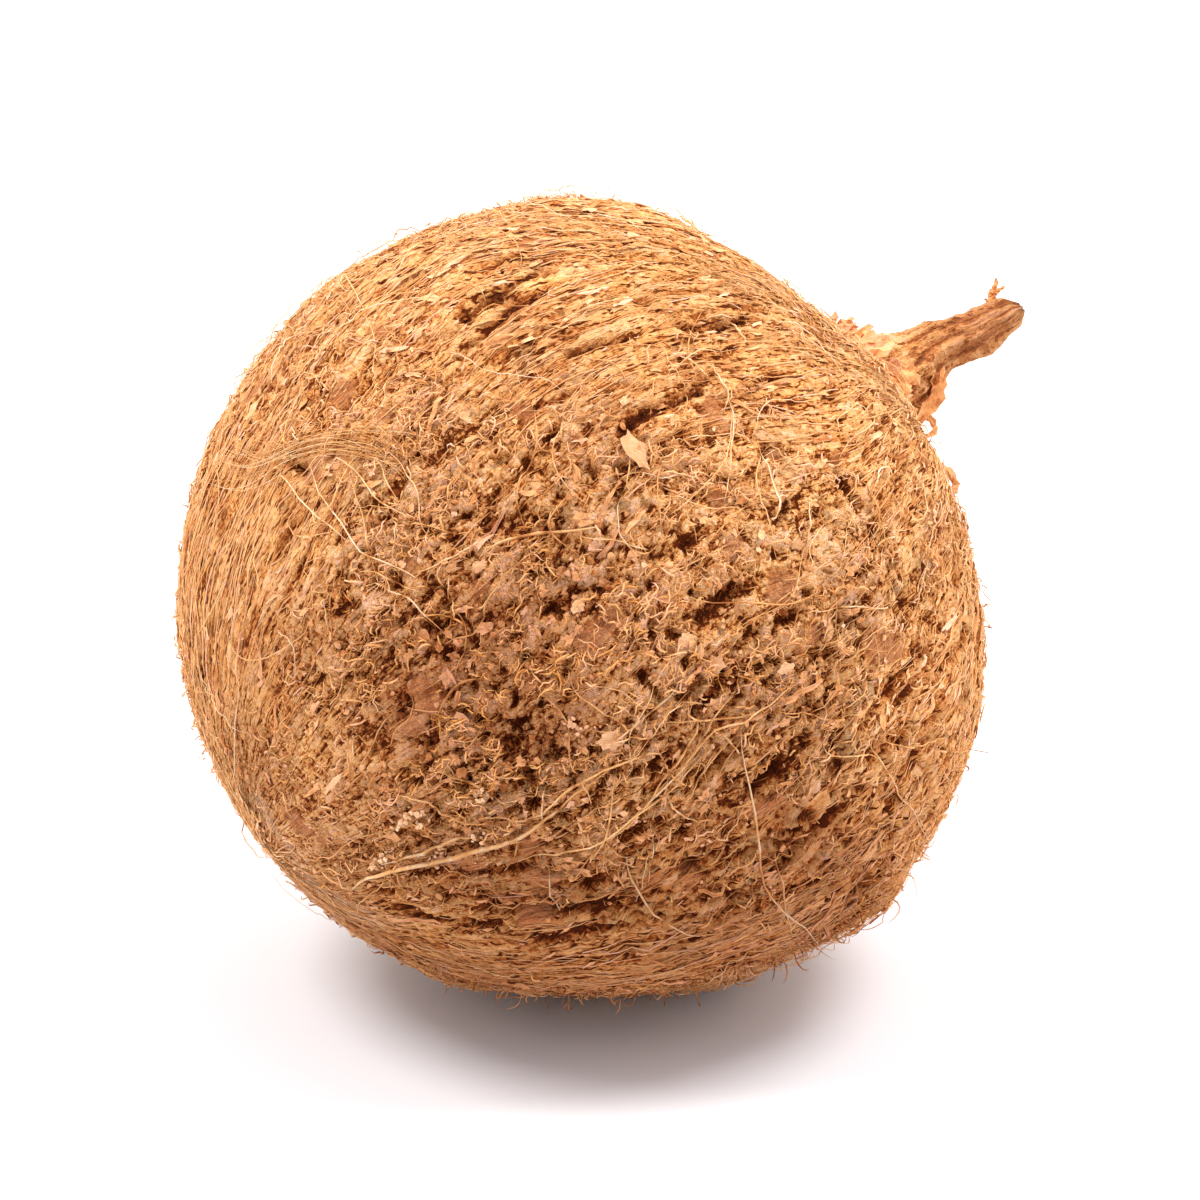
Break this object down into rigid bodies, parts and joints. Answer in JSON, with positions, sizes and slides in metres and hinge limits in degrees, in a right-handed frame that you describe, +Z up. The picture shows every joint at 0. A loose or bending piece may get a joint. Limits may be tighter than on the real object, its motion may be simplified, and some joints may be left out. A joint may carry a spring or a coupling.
{
  "type": "coconut",
  "caption": "Round husked coconut in a ragged coat of tan coir, lying on its side, with a torn spur of husk at the stem end.",
  "frame": {"origin": "middle of the small flat spot that the nut rests on, on the surface below it", "axes": "+Z up from that surface, +X level towards the side that the stem end and its spur lean to, +Y level, away from the side that the picture shows"},
  "size_m": [0.1257, 0.1177, 0.1156],
  "materials": {
    "coir": "dry, fibrous, matt"
  },
  "bodies": {
    "root": {"coconut": "coir"}
  },
  "joints": []
}
